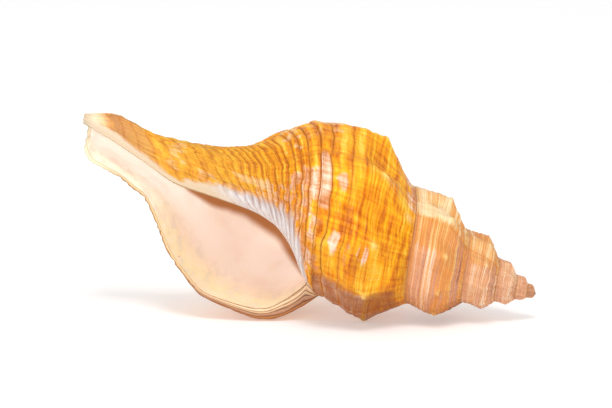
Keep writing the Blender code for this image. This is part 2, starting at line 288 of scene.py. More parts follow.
def under_wall(back):
    """The outside of one column, moved in by the thickness of the wall."""
    column = np.array([back])
    places = np.linspace(0, 1, UPPER_STEPS)
    line = np.concatenate([
        upper_section(column, places, carved=False)[:-1, 0],
        lower_section(column, np.linspace(0, LAST, LOWER_STEPS), carved=False)[:, 0],
    ])
    tangent = np.gradient(line, axis=0)
    normal = np.stack([-tangent[:, 1], tangent[:, 0]], axis=1)
    normal /= np.linalg.norm(normal, axis=1)[:, None]
    step = np.hypot(*np.diff(line, axis=0).T)
    along = np.concatenate([[0], np.cumsum(step)]) / step.sum()
    line = line - normal * wall_thickness(back, along)[:, None]
    carved = upper_section(column, places)[:, 0]
    least = LEAST_WALL * smooth_step(back, *LEAST_WALL_TURNS)
    least = least * (1 - smooth_step(places, *LEAST_WALL_FADE))
    room = np.interp(line[:, 0], carved[:, 0], carved[:, 1] - least, right=1.0)
    line[:, 1] = np.minimum(line[:, 1], room)
    return line


def outer_side(back, inner, shares):
    """The side of the hollow under the wall, as a list of points for one column."""
    line = under_wall(back)
    core = np.interp(line[:, 0], inner[:, 0], inner[:, 1])
    open_share = np.sqrt(np.clip((hollow_end(back) - line[:, 0]) / CLOSING_LENGTH, 0, 1))
    open_share *= np.sqrt(np.clip((HOLLOW_BACK + SPARE_TURNS - back) / CLOSING_TURNS, 0, 1))
    line[:, 1] = core + (line[:, 1] - core) * open_share
    clear = line[:, 1] > core + CLEARANCE
    clear &= (line[:, 0] > inner[0, 0]) & (line[:, 0] < inner[-1, 0])
    chain = [inner[:1], line[clear]]
    if back > CANAL_BACK - 0.5 / COLUMNS:
        chain.append(inner[-1:])
    return resample(np.concatenate(chain), shares)


print("wall at the lip and a quarter turn in, mm:",
      [round(float(wall_thickness(back, 0.5)) / MM, 2) for back in (0.0, 0.25)])

# %% [markdown]
# ## Rows that follow the cords
#
# Flat cords, parted by narrow grooves, run round the base of the shell. A groove is far
# narrower than a cord, so the mesh rows are set by the grooves: two rows close on each side of
# every groove, and few on the flat between. Above the shoulder, rows are even, four to a thread.

# %% Mesh rows
GROOVE_ROWS = (0.0, 0.10, 0.20, 0.31, 0.42, 0.53, 0.715, 0.913, 1.36, 2.28, 2.94, 3.50, 4.07,
               4.45, 4.80, 5.15, 5.45, 5.75, 6.05, 6.35, 6.65, 7.0, 7.4, 7.9, 8.4, 8.9, 9.4,
               9.9, 10.4, 10.9, 12.0)
GROOVE_SHARES = (0.0, 0.15, 0.15, 0.15, 0.15, 0.30, 0.45, 1.0, 1.0, 0.95, 0.85, 0.75, 0.65,
                 0.55, 0.48, 0.42, 0.38, 0.35, 0.35, 0.32, 0.32, 0.3, 0.3, 0.3, 0.3, 0.25, 0.25,
                 0.2, 0.15, 0.1, 0.0)
SHARP_ROW = 6.6  # down to here a groove gets its own close rows
BROAD_GROOVE = 0.53  # above the shoulder the mesh rows are even
THREADS = 10  # fine ridges between two seams of the spire
EVEN_ROWS = 21
HOLLOW_FROM = 2.7  # the row on the whorl before at which the hollow starts


def rows_between(low, high):
    """Mesh rows from one groove to the next: closer near the grooves that are cut sharp."""
    if low < 1:
        shares = (0.0, 0.07, 0.25, 0.42, 0.58, 0.75, 0.93)
    elif low < SHARP_ROW:
        shares = (0.0, 0.12, 0.32, 0.68, 0.88)
    else:
        shares = (0.0, 0.5)
    return [low + share * (high - low) for share in shares]


rows = list(np.linspace(0, BROAD_GROOVE, EVEN_ROWS, endpoint=False))
for low, high in zip(GROOVE_ROWS[:-1], GROOVE_ROWS[1:]):
    if low >= BROAD_GROOVE:
        rows += rows_between(low, high)
rows = np.array(sorted({round(float(r), 5) for r in rows} | {1.0, 1.0 + LAST}))
upper_rows = rows[rows <= 1.0]
lower_rows = rows[rows > 1.0] - 1
hollow_first = int(np.argmin(np.abs(lower_rows + 1 - HOLLOW_FROM)))
print("rows of the upper and the lower section:", len(upper_rows), len(lower_rows))

# %% [markdown]
# ## A flat chart of the shell
#
# The mesh is first laid out flat, as a chart: the three numbers of a point are its turns, its
# distance down the axis and its radius. Winding the chart up is the same rule for every
# point, so that is left to a Geometry Nodes tree further on. Every part of the surface is a
# grid, and neighbours share their edge points, so the shell closes with no gap.
#
# Each corner of a face also remembers how old it is ("turns"), and on which row it lies
# ("row": 0 to 1 from one seam to the line of the next, then 1 to 12 down to the canal end).
# The ribs and the colours follow these two numbers.

# %% A mesh that remembers how it grew
OUTSIDE, GLAZED, LINING, LIP = 0, 1, 2, 3


class Chart:
    """Points as (turns, distance, radius), and faces with their part and corner facts."""

    def __init__(self):
        self.points = []
        self.facts = []
        self.faces = []
        self.parts = []
        self.corner_facts = []

    def add(self, turns, section, age, row):
        """Adds a grid of section points and returns their numbers in the same shape."""
        form = section.shape[:-1]
        turns = np.broadcast_to(turns, form)[..., None]
        age = np.broadcast_to(age, form)[..., None]
        row = np.broadcast_to(row, form)[..., None]
        start = len(self.points)
        self.points.extend(np.concatenate([turns, section], axis=-1).reshape(-1, 3).tolist())
        self.facts.extend(np.concatenate([age, row], axis=-1).reshape(-1, 2).tolist())
        return np.arange(start, len(self.points)).reshape(form)

    def face(self, corners, part, facts=None, turned=False):
        """Adds a face, leaving out a corner that comes twice. facts are (age, row) by corner."""
        if turned:
            corners = corners[::-1]
        kept = {}
        for place, corner in enumerate(corners):
            kept.setdefault(int(corner), place)
        if len(kept) < 3:
            return
        self.faces.append(list(kept))
        self.parts.append(part)
        for corner, place in kept.items():
            self.corner_facts.append(facts[place] if facts else self.facts[corner])

    def sheet(self, grid, part, age=None, row=None, turned=False):
        """Faces between neighbours of a grid of point numbers."""
        for r in range(grid.shape[0] - 1):
            for c in range(grid.shape[1] - 1):
                places = ((r, c), (r, c + 1), (r + 1, c + 1), (r + 1, c))
                facts = None if age is None else [(age[y], row[x]) for x, y in places]
                self.face([grid[place] for place in places], part, facts, turned)

    def shares_of(self, line):
        """How far along its own line each point lies, from 0 to 1."""
        places = np.array([self.points[i][1:] for i in line])
        run = np.concatenate([[0], np.cumsum(np.hypot(*np.diff(places, axis=0).T))])
        return run / run[-1]

    def stitch(self, first, second, part, turned=False):
        """Fills between two lines of points with triangles, side by side along both."""
        runs = [self.shares_of(line) for line in (first, second)]
        i = j = 0
        while i < len(first) - 1 or j < len(second) - 1:
            one = runs[0][i + 1] if i < len(first) - 1 else 2.0
            two = runs[1][j + 1] if j < len(second) - 1 else 2.0
            if one <= two:
                self.face((first[i], first[i + 1], second[j]), part, turned=turned)
                i += 1
            else:
                self.face((first[i], second[j + 1], second[j]), part, turned=turned)
                j += 1


chart = Chart()
print("parts of the surface:", OUTSIDE, GLAZED, LINING, LIP)

# %% Grooves that wander
WANDER_WAVES = ((5.0, 0.0, 0.55), (11.0, 1.3, 0.30), (23.0, 4.0, 0.15))  # in a turn, phase, share
WANDER_ROWS = (0.0, 0.5, 0.9, 1.36, 3.0, 8.0, 12.0)
WANDER_REACH = (0.0, 0.01, 0.03, 0.05, 0.08, 0.08, 0.0)
WANDER_LEAN = 0.7  # how far the phase shifts in a row
WANDER_IN, WANDER_OUT = (0.0, 0.04), (0.92, 1.0)


def wander(back, rows):
    """Rows moved a little up and down, because no groove of a real shell runs quite true."""
    wave = sum(share * np.sin(2 * np.pi * count * back + phase + WANDER_LEAN * rows)
               for count, phase, share in WANDER_WAVES)
    fade = smooth_step(back, *WANDER_IN) * (1 - smooth_step(back, *WANDER_OUT))
    return rows + fade * np.interp(rows, WANDER_ROWS, WANDER_REACH) * wave


def whole_section(back, places):
    """One section from the seam, place 0, past the next seam, 1, to the canal end, 12."""
    column = np.array([back])
    above = upper_section(column, np.minimum(places, 1.0))[:, 0]
    below = lower_section(column, np.maximum(places - 1.0, 0.0))[:, 0]
    return np.where(places[:, None] <= 1, above, below)


print("a groove wanders by, in rows:", [round(float(wander(back, 4.0)) - 4, 3) for back in (0.2, 0.5)])

# %% The outside
backs = np.arange(int(APEX_BACK * COLUMNS), -1, -1) / COLUMNS
old_turns, last_turn = backs[:-COLUMNS - 1], backs[-COLUMNS - 1:]
tip = chart.add(APEX_BACK, np.zeros((1, 2)), APEX_BACK, 0.0)[0]
upper = np.zeros((len(upper_rows), len(backs)), int)
upper[1:, :len(old_turns)] = chart.add(
    old_turns, upper_section(old_turns, upper_rows)[1:], old_turns, upper_rows[1:, None])
newest = np.stack([whole_section(back, wander(back, rows)) for back in last_turn], axis=1)
newest = chart.add(last_turn, newest[1:], last_turn, rows[1:, None])
upper[1:, len(old_turns):] = newest[:len(upper_rows) - 1]
upper[0, :COLUMNS + 1] = tip
upper[:, 0] = tip
upper[0, COLUMNS + 1:] = upper[-1, 1:-COLUMNS]
chart.sheet(upper, OUTSIDE, backs, upper_rows)

lower = np.zeros((len(lower_rows) + 1, COLUMNS + 1), int)
lower[0] = upper[-1, -COLUMNS - 1:]
lower[1:] = newest[len(upper_rows) - 1:]
chart.sheet(lower, OUTSIDE)
print("outside faces:", len(chart.faces))

# %% The hollow
LINING_ROWS = 56
hollow_columns = int(round(HOLLOW_BACK * COLUMNS))
canal_columns = int(round(CANAL_BACK * COLUMNS))
into = np.arange(hollow_columns + 1) / COLUMNS
inner_points = inner_side(into, lower_rows[hollow_first:])
glazed = np.zeros((len(inner_points), len(into)), int)
glazed[:, 0] = lower[hollow_first + 1:, 0]
glazed[:, 1:] = chart.add(into[1:], inner_points[:, 1:], 1 + into[1:],
                          1 + lower_rows[hollow_first:, None])
chart.sheet(glazed, GLAZED, turned=True)

shares = np.linspace(0, 1, LINING_ROWS)
lining = np.zeros((LINING_ROWS, len(into)), int)
for column, back in enumerate(into):
    line = outer_side(back, inner_points[:, column], shares)
    lining[:, column] = chart.add(back, line, back, 1 + LAST * shares)
    lining[0, column] = glazed[0, column]
    if column >= canal_columns:
        lining[-1, column] = glazed[-1, column]
chart.sheet(lining, LINING)
chart.stitch(glazed[:, -1], lining[:, -1], LINING)
print("faces with the hollow:", len(chart.faces))

# %% The end of the canal
MIDDLE_TURNS = 0.6  # only places the middle point of the end, which lies on the axis
end = lower[-1, ::-1]
for column in range(canal_columns):
    chart.face((lining[-1, column], lining[-1, column + 1], end[column + 1], end[column]), LIP)
ring = list(end[canal_columns:]) + list(glazed[-1, 1:canal_columns + 1])
ring_end = np.mean([chart.points[i][1] for i in ring])
middle = chart.add(MIDDLE_TURNS, np.array([[ring_end, 0.0]]), MIDDLE_TURNS, 1.0 + LAST)[0]
for one, two in zip(ring, ring[1:] + ring[:1]):
    chart.face((two, one, middle), OUTSIDE)
print("faces with the end of the canal:", len(chart.faces))

# %% [markdown]
# ## The edge of the lip
#
# The lip is where the shell was still growing. Its edge is thin and rounded along the mouth,
# and near the seam it is thick and built of layers. The edge is a band of a few rows between
# the outside and the lining, pushed out a little in the middle so that it is round.

# %% Both sides of the edge
EDGE_POINTS = 300
outline = list(upper[:, -1]) + list(lower[1:, -1])
inside = list(lower[:hollow_first + 1, 0]) + list(lining[:, 0])
even = np.linspace(0, 1, EDGE_POINTS)
outer_line = resample(np.array([chart.points[i][1:] for i in outline]), even)
inner_line = resample(np.array([chart.points[i][1:] for i in inside]), even)
print("points along the outside and the inside of the edge:", len(outline), len(inside))

# %% Scallops where grooves meet the edge
SCALLOPS = 38
SCALLOP_DEPTH = 0.6 * MM
SCALLOP_TURNS = 0.035  # how far back a scallop fades
SCALLOP_COLUMNS = 9  # mesh columns that reach as far back
SCALLOP_FROM, SCALLOP_TO = (0.38, 0.46), (0.88, 0.96)  # shares of the edge, in and out
UNEVEN = ((0.006, 40), (0.4, 61))  # share and speed of the uneven spacing and of the depth
THIN_EDGE = 0.1 * MM


def scallop(shares):
    """A step from the outside towards the inside, where a groove meets the edge."""
    across = inner_line - outer_line
    across /= np.maximum(np.linalg.norm(across, axis=1), THIN_EDGE)[:, None]
    (shift, shift_speed), (depth, depth_speed) = UNEVEN
    place = shares + shift * np.sin(shift_speed * shares)
    notch = 0.5 - 0.5 * np.cos(2 * np.pi * SCALLOPS * place)
    notch *= 1 - depth + depth * np.sin(depth_speed * shares)
    window = smooth_step(shares, *SCALLOP_FROM) * (1 - smooth_step(shares, *SCALLOP_TO))
    way = np.stack([np.interp(shares, even, column) for column in across.T], axis=1)
    return way * (SCALLOP_DEPTH * notch * window)[:, None]


lip_columns = np.concatenate([grid[:, -SCALLOP_COLUMNS:] for grid in (upper, lower[1:])])
for numbers, step in zip(lip_columns, scallop(chart.shares_of(outline))):
    for number in numbers:
        fade = 1 - float(smooth_step(chart.points[number][0], 0.0, SCALLOP_TURNS))
        chart.points[number][1] += float(step[0]) * fade
        chart.points[number][2] += float(step[1]) * fade
outer_line = outer_line + scallop(even)
print("deepest scallop, mm:", round(float(np.abs(scallop(even)).max()) / MM, 2))

# %% The edge of the lip
EDGE_SHARES = (0.1, 0.25, 0.42, 0.58, 0.75, 0.9)
EDGE_BULGE = 0.3
BULGE_WIDTH = 2.0 * MM  # a wider edge bulges no more than this one
LEAST_RADIUS = 5.0 * MM
edge_width = np.hypot(*(outer_line - inner_line).T)
previous = outline
for share in EDGE_SHARES:
    line = outer_line + (inner_line - outer_line) * share
    bulge = EDGE_BULGE * np.minimum(edge_width, BULGE_WIDTH) * math.sin(math.pi * share)
    forward = -bulge / (2 * math.pi * np.maximum(line[:, 1], LEAST_RADIUS))
    added = chart.add(forward[1:], line[1:], -share, 1 + LAST * even[1:])
    edge_row = [outline[0]] + list(added)
    chart.stitch(previous, edge_row, LIP, turned=True)
    if previous is not outline:
        chart.face((previous[-1], edge_row[-1], lower[-1, -1]), LIP)
    previous = edge_row
chart.stitch(previous, inside, LIP, turned=True)
chart.face((previous[-1], inside[-1], lower[-1, -1]), LIP)
print("edge width, mm:", [round(float(width) / MM, 1) for width in edge_width[20::70]])

# %% Leaving out points that no face uses
used = sorted({corner for face in chart.faces for corner in face})
number = {old: new for new, old in enumerate(used)}
chart.points = [chart.points[old] for old in used]
chart.facts = [chart.facts[old] for old in used]
chart.faces = [[number[corner] for corner in face] for face in chart.faces]
print("points used:", len(used))

# %% [markdown]
# ## Numbers for the ribs
#
# The tree that winds the chart also cuts the ribs. It is told, point by point, how far along
# the cords a point lies, how deep its groove may be, and how much the axis bends there.

# %% How far a spot is from a groove
FINE_ROWS = np.linspace(0, 1 + LAST, 241)
STATIONS = np.linspace(0, 1, 9)  # turns at which a section is measured


def band(value, low, high, soft):
    """1 between low and high, fading out over soft on both sides of each."""
    return smooth_step(value, low - soft, low + soft) * (1 - smooth_step(value, high - soft, high + soft))


def length_down(turns, row):
    """Length along the section from the seam down to a row, in metres."""
    lengths = []
    for station in STATIONS:
        column = np.array([station])
        section = np.concatenate([
            upper_section(column, FINE_ROWS[FINE_ROWS <= 1], carved=False)[:, 0],
            lower_section(column, FINE_ROWS[FINE_ROWS > 1] - 1, carved=False)[:, 0]])
        step = np.hypot(*np.diff(section, axis=0).T)
        lengths.append(np.interp(row, FINE_ROWS, np.concatenate([[0], np.cumsum(step)])))
    lengths = np.array(lengths)
    at = np.clip(turns, 0, 1) * (len(STATIONS) - 1)
    low = np.minimum(at.astype(int), len(STATIONS) - 2)
    pick = np.arange(len(row))
    found = lengths[low, pick] * (1 - at + low) + lengths[low + 1, pick] * (at - low)
    return found * GROWTH ** (-np.maximum(turns - 1, 0))


def groove_gap(turns, row):
    """Distance along the surface to the nearest groove, in metres."""
    here = length_down(turns, row)
    gap = np.full(len(row), 1.0)
    for groove in GROOVE_ROWS[1:-1]:
        gap = np.minimum(gap, np.abs(here - length_down(turns, np.full(len(row), groove))))
    return gap


points = np.array(chart.points)
age, row = np.array(chart.facts).T
gap = groove_gap(age, row)
print("points within half a millimetre of a groove:", int((gap < 0.5 * MM).sum()))

# %% Where the glaze starts and where the nodules are
GLAZE_ROWS = (1.0, 1.5, 2.0, 3.1, 3.6, 4.7, 5.8, 7.4, 8.5, 8.9, 9.2, 10.8, 12.0)
GLAZE_TURNS = (1.2, 1.0, 0.89, 0.81, 0.79, 0.775, 0.782, 0.812, 0.88, 0.925, 0.91, 0.79, 0.78)
FIRST_TIP, LAST_TIP = 0.1, 5.5  # turns back between which nodules show
TIP_ROW = 0.385
tips_old = [NODULE_START + n * NODULE_PITCH_OLD for n in range(50)]
tips_new = [NODULE_START - n * NODULE_PITCH_NEW for n in range(1, 6)]
NODULE_TIPS = [tip for tip in sorted(tips_new + tips_old) if FIRST_TIP < tip < LAST_TIP]


def callus_start(row):
    """How many turns back the white callus starts, by row."""
    return np.interp(row, GLAZE_ROWS, GLAZE_TURNS)


def spot(turns, row, place, spread):
    """1 at a place of the chart, fading out over spread. Both are turns and rows."""
    return np.exp(-((turns - place[0]) / spread[0]) ** 2 - ((row - place[1]) / spread[1]) ** 2)


def at_tips(turns, row, tip_row, spread, last=LAST_TIP):
    """1 at the tip of every nodule up to the last."""
    return np.maximum.reduce([
        spot(turns, row, (tip, tip_row), spread) for tip in NODULE_TIPS if tip < last])


print("nodules:", len(NODULE_TIPS))

# %% Attributes of the chart
AXIS_DISTANCES = tuple(MM * d for d in (0.0, 8.0, 30.0, 60.0, 115.0, 128.0, 140.0, 151.0))
AXIS_BENDS = tuple(MM * r for r in (1.0, 0.0, -0.6, 0.0, 0.0, 0.5, 2.0, 1.4))
GROWTH_STOPS = (0.615, 0.872, 1.642, 2.645, 3.64)  # turns back where growth paused
STOP_TURNS = 0.006
STOP_END = 3.5  # row at which a stop fades from the relief
SINK_ROWS = 0.17  # rows over which the surface sinks beside a nodule's tip
GLAZED_SHARE = 0.85  # how much of a groove the callus fills
GLAZE_TOP = 1.8  # row at which the callus starts
LIP_TURNS = 0.02  # relief comes in over so many turns from the lip
bare = np.zeros(len(points))
for face, part in zip(chart.faces, chart.parts):
    if part == OUTSIDE:
        bare[face] = 1
for face, part in zip(chart.faces, chart.parts):
    if part in (GLAZED, LINING):
        bare[face] = 0
covered = smooth_step(age, callus_start(row) - 0.03, callus_start(row) + 0.02) * (row > GLAZE_TOP)
near_lip = smooth_step(age, 0.0, LIP_TURNS)
beside_tip = np.exp(-((row - TIP_ROW) / SINK_ROWS) ** 2)
beside_tip = beside_tip * (1 - at_tips(age, row, TIP_ROW, (0.016, 0.08)))
stops = np.maximum.reduce([np.exp(-((age - stop) / STOP_TURNS) ** 2) for stop in GROWTH_STOPS])
relief = {
    "age": age,
    "row_at_point": row,
    "bend": np.interp(points[:, 1], AXIS_DISTANCES, AXIS_BENDS),
    "cord": np.interp(row, GROOVE_ROWS, range(len(GROOVE_ROWS))),
    "gap": gap,
    "groove": bare * np.interp(row, GROOVE_ROWS, GROOVE_SHARES) * (1 - GLAZED_SHARE * covered)
    * (1 - smooth_step(age, 1.0, 1.02)),
    "sink": bare * near_lip * beside_tip * GROWTH ** (-age),
    "stop": bare * near_lip * stops * GROWTH ** (-age) * (row < STOP_END),
    "thread": np.clip(row, 0, 1) * THREADS,
    "bare": bare * (1 - covered) * near_lip,
}
mesh = bpy.data.meshes.new("shell_chart")
mesh.from_pydata(points.tolist(), [], chart.faces)
for name, values in relief.items():
    mesh.attributes.new(name, "FLOAT", "POINT").data.foreach_set("value", values)
mesh.attributes.new("part", "INT", "FACE").data.foreach_set("value", chart.parts)
print("attributes on the points:", len(relief))

# %% [markdown]
# ## Where the colours lie
#
# The animal laid down colour as it grew, so colour zones are simple in the chart: a patch is a
# range of turns and a range of rows. Soft zones are stored on the corners of the faces, and
# the materials break their edges up with noise. Some zones are painted light instead: shade
# deep in the mouth, shade between the nodules and on the underside, and a highlight on the nodules.

# %% Colour zones: grooves and the glaze
GLAZE_FADE = 0.2  # turns over which the glaze comes in
turns, rows_of = np.array(chart.corner_facts).T
body = turns <= 1.0
zones = {"turns": turns, "row": rows_of}
zones["cord_at"] = np.interp(rows_of, GROOVE_ROWS, range(len(GROOVE_ROWS)))
zones["gap_at"] = groove_gap(turns, rows_of)
zones["callus"] = np.clip((turns - callus_start(rows_of)) / GLAZE_FADE, -1, 1) * body - (~body)
zones["inward"] = np.clip(turns - 1, 0, 1)
# Painted shade in the mouth: past these turns, row by row, the lining is painted brown where the columella
# shades it.
MOUTH_SHADE_ROWS = (1.9, 2.7, 3.3, 3.7, 4.5, 5.1, 5.9, 6.5, 7.3, 7.9, 9.0, 12.0)
MOUTH_SHADE_TURNS = (0.108, 0.149, 0.171, 0.185, 0.193, 0.197, 0.189, 0.176, 0.163, 0.152, 0.165, 0.20)
zones["deep"] = turns - np.interp(rows_of, MOUTH_SHADE_ROWS, MOUTH_SHADE_TURNS)
print("corners:", len(turns))

# %% Colour zones: pinkish patches
LILAC_SOFT = (0.02, 0.03)  # softness of a patch in turns and in rows
LILAC = (  # turns from and to, row from and to, strength
    (0.625, 0.74, 0.91, 1.36, 1.00), (0.745, 0.88, 0.93, 1.36, 0.52),
    (0.655, 0.74, 1.36, 2.28, 0.70), (0.745, 0.90, 1.36, 2.28, 0.50),
    (0.655, 0.93, 2.28, 2.94, 0.62), (0.66, 0.90, 2.94, 4.10, 0.50),
    (0.70, 0.86, 4.10, 6.00, 0.52), (0.76, 0.87, 6.00, 8.20, 0.50),
    (0.42, 0.655, -0.10, 0.11, 0.62), (0.872, 0.985, 0.40, 1.05, 0.72),
    (0.66, 0.70, 0.745, 0.87, 0.75), (0.76, 0.815, 0.75, 0.87, 0.62),
    (0.78, 0.835, 0.62, 0.69, 0.62), (0.775, 0.82, 0.42, 0.55, 0.55),
    (0.93, 1.00, 0.20, 1.36, 0.50), (0.05, 0.45, 0.72, 2.90, 0.45),
    (1.00, 1.45, 0.00, 1.00, 0.50), (1.72, 2.05, 0.45, 1.00, 0.55),
    (2.05, 2.50, 0.00, 1.00, 0.50), (2.70, 3.10, 0.00, 1.00, 0.52),
    (3.10, 6.30, 0.00, 1.00, 0.50),
)
lilac = np.zeros(len(turns))
for first, last, top, bottom, strength in LILAC:
    patch = band(turns, first, last, LILAC_SOFT[0]) * band(rows_of, top, bottom, LILAC_SOFT[1])
    lilac = np.maximum(lilac, strength * patch)
zones["lilac"] = lilac
print("share of corners in a pinkish patch:", round(float((lilac > 0).mean()), 2))

# %% Colour zones: gold, dark brown with painted shade, plum and pale
ALL_ROWS = (-9.0, 99.0, 1.0)  # wide enough for every row
GOLD_ZONES = (  # strength, then from, to and softness in turns and in rows
    (0.4, (0.36, 0.615, 0.012), (0.1, 5.0, 0.3)),
    (1.0, (1.40, 1.642, 0.012), ALL_ROWS),
    (0.8, (2.42, 2.645, 0.02), ALL_ROWS),
    (0.6, (3.50, 3.70, 0.06), ALL_ROWS),
    (0.8, (0.30, 0.60, 0.05), (7.6, 8.6, 0.4)),
    (0.5, (0.08, 0.20, 0.03), (0.3, 3.0, 0.1)),
)
# Dark brown zones: partly the shell's own brown, partly painted shade on the lower front of the body
# whorl.
UMBER_AND_SHADE_ZONES = (
    (0.42, (0.78, 0.90, 0.05), (0.3, 2.3, 0.2)),
    (0.40, (0.66, 0.86, 0.03), (2.0, 5.5, 0.4)),
    (0.35, (0.612, 0.655, 0.01), (0.85, 4.6, 0.2)),
    (0.45, (0.70, 1.0, 0.1), (-0.1, 0.12, 0.06)),
)
PLUM_ZONES = ((1.0, (0.46, 0.92, 0.05), (9.5, 10.8, 0.5)),)
PALE_ZONES = (
    (0.72, (0.69, 0.745, 0.02), (5.2, 6.8, 0.35)),
    (0.75, (1.595, 1.642, 0.01), (0.40, 0.98, 0.05)),
    (0.35, (0.45, 0.615, 0.02), (0.5, 4.0, 0.3)),
)


def strongest(table):
    """The strongest of a table of zones at each corner."""
    return np.maximum.reduce([strength * band(turns, *across) * band(rows_of, *down)
                              for strength, across, down in table])


# Painted shade: the underside of the body whorl darkens past 0.86 turns, below the nodules.
underside_shade = 0.8 * smooth_step(turns, 0.862, 0.880) + 0.2 * smooth_step(turns, 0.90, 1.0)
old_bar = 0.8 * smooth_step(turns, 1.84, 2.0) * (1 - smooth_step(turns, 2.02, 2.15))
slanted = np.exp(-((rows_of - 8.35 - (turns - 0.6) * 2.6) / 0.30) ** 2)
zones["gold"] = strongest(GOLD_ZONES)
zones["umber"] = np.maximum.reduce([
    underside_shade * (turns < 1.001) * band(rows_of, 0.05, 1.5, 0.1), old_bar, strongest(UMBER_AND_SHADE_ZONES)])
zones["plum"] = strongest(PLUM_ZONES)
zones["pale"] = np.maximum(strongest(PALE_ZONES), 0.62 * band(turns, 0.52, 0.86, 0.06) * slanted)
print("zones so far:", len(zones))

# %% Colour zones: nodules, seams and growth stops
CREAM_TURNS = 2.1  # nodules are tipped with cream up to here
CREAM_SPOT = (0.672, 0.06)
SEAM_ABOVE, SEAM_BELOW = (0.955, 0.99), (0.0, 0.035)  # rows over which the seam darkens
STOP_LINE_AFTER, STOP_LINE_TURNS = 0.004, 0.003
STOP_LINE_END = 4.5  # row
# Painted shade in the hollows between the nodules, and a painted highlight round each nodule tip.
zones["dip"] = (1 - nodule(turns)) * np.exp(-((rows_of - 0.42) / 0.20) ** 2) * (turns < 1)
zones["knob"] = at_tips(turns, rows_of, 0.37, (0.014, 0.07))
zones["cream"] = np.maximum(at_tips(turns, rows_of, TIP_ROW, (0.0055, 0.035), CREAM_TURNS),
                            spot(turns, rows_of, CREAM_SPOT, (0.010, 0.035)))
above_seam = np.where(turns > 1.003, smooth_step(rows_of, *SEAM_ABOVE), 0.0)
below_seam = 1 - smooth_step(rows_of, *SEAM_BELOW)
zones["seam"] = np.maximum(0.9 * above_seam, 0.55 * below_seam)
stop_lines = [np.exp(-((turns - stop - STOP_LINE_AFTER) / STOP_LINE_TURNS) ** 2)
              for stop in GROWTH_STOPS]
zones["stop_at"] = np.maximum.reduce(stop_lines) * (rows_of < STOP_LINE_END)
for name, values in zones.items():
    mesh.attributes.new(name, "FLOAT", "CORNER").data.foreach_set("value", values.copy())
conch = bpy.data.objects.new("conch", mesh)
bpy.context.scene.collection.objects.link(conch)
print("points:", len(points), "faces:", len(chart.faces))

# %% [markdown]
# ## Winding the chart and cutting the ribs
#
# On the real shell one rule makes everything, so one Geometry Nodes tree does it here. Each
# point is turned about the axis by its turns, the axis is leant as the shell lies, and then the
# surface moves in and out along its normal: flat cords between narrow grooves, fine threads on
# the spire, and faint waves across them where growth stopped and started.
#
# Trees are easier to read as formulas, so a socket here can be added and multiplied like a
# number. Each sum or product makes the Math node for it.

# %% Sockets that work like numbers


class Value:
    """A socket of a tree that can be added, taken away and multiplied."""

    def __init__(self, owner, socket):
        self.owner = owner
        self.socket = socket

    def __add__(self, other):
        return self.owner.math("ADD", self, other)

    def __sub__(self, other):
        return self.owner.math("SUBTRACT", self, other)

    def __rsub__(self, other):
        return self.owner.math("SUBTRACT", other, self)

    def __mul__(self, other):
        return self.owner.math("MULTIPLY", self, other)

    def __neg__(self):
        return self * -1.0

    __radd__ = __add__
    __rmul__ = __mul__


# %% Node trees with short calls


class Tree:
    """A node tree. What goes into a node may be a Value or a plain number."""

    def __init__(self, tree):
        self.tree = tree

    def set(self, socket, value):
        if isinstance(value, Value):
            self.tree.links.new(value.socket, socket)
        else:
            socket.default_value = value

    def node(self, kind, inputs=(), **settings):
        """Adds a node. inputs gives values by the name or number of a socket."""
        node = self.tree.nodes.new(kind)
        for name, value in settings.items():
            setattr(node, name, value)
        for key, value in dict(inputs).items():
            self.set(node.inputs[key], value)
        return node

    def value(self, kind, inputs=(), out=0, **settings):
        """Adds a node and returns one of its outputs."""
        return Value(self, self.node(kind, inputs, **settings).outputs[out])

    def values(self, node):
        """All the outputs of a node by name."""
        return {socket.name: Value(self, socket) for socket in node.outputs}

    def math(self, operation, *values):
        return self.value("ShaderNodeMath", enumerate(values), operation=operation)

    def ramp(self, value, low, high, to_low=0.0, to_high=1.0, kind="SMOOTHSTEP"):
        """Goes from to_low to to_high while the value goes from low to high."""
        return self.value("ShaderNodeMapRange", {
            "Value": value, "From Min": low, "From Max": high, "To Min": to_low, "To Max": to_high,
        }, interpolation_type=kind)

    def join(self, x, y, z):
        return self.value("ShaderNodeCombineXYZ", enumerate((x, y, z)))

    def noise(self, vector, scale=1.0, detail=2.0, roughness=0.5):
        return self.value("ShaderNodeTexNoise", {
            "Vector": vector, "Scale": scale, "Detail": detail, "Roughness": roughness})

    def chart_noise(self, turns, row, seed, detail=2.0, roughness=0.5):
        """Noise in the numbers of the chart, so that it bends round the shell with the cords."""
        return self.noise(self.join(turns, row, seed), 1.0, detail, roughness)

    def mix(self, share, first, second, blend="MIX"):
        """Goes from the first colour to the second. A colour may be three plain numbers."""
        first, second = ((*colour, 1.0) if isinstance(colour, tuple) else colour
                         for colour in (first, second))
        return self.value("ShaderNodeMix", {0: share, 6: first, 7: second}, out=2,
                          data_type="RGBA", blend_type=blend)

    def between(self, share, first, second):
        """Goes from the first number to the second."""
        return self.value("ShaderNodeMix", {0: share, 2: first, 3: second}, data_type="FLOAT")

    def colours(self, value, stops):
        """A colour ramp through stops, each a place and a colour."""
        node = self.node("ShaderNodeValToRGB", {"Fac": value})
        elements = node.color_ramp.elements
        elements[0].position, elements[0].color = stops[0][0], (*stops[0][1], 1.0)
        elements[1].position, elements[1].color = stops[-1][0], (*stops[-1][1], 1.0)
        for place, colour in stops[1:-1]:
            elements.new(place).color = (*colour, 1.0)
        return Value(self, node.outputs["Color"])

    def attribute(self, name):
        return self.value("ShaderNodeAttribute", out="Fac", attribute_name=name)

    def group(self, tree, **inputs):
        """Places a shared group and returns its outputs by name."""
        return self.values(self.node("ShaderNodeGroup", inputs, node_tree=tree))

    def given(self):
        """The inputs of this tree by name."""
        return self.values(self.node("NodeGroupInput"))


def new_socket(tree, name, kind, value=None, output=False):
    """Adds an input or an output to the outside of a tree."""
    socket = tree.interface.new_socket(
        name, in_out="OUTPUT" if output else "INPUT", socket_type=kind)
    if value is not None:
        socket.default_value = value


print("short calls:", [name for name in vars(Tree) if not name.startswith("_")])

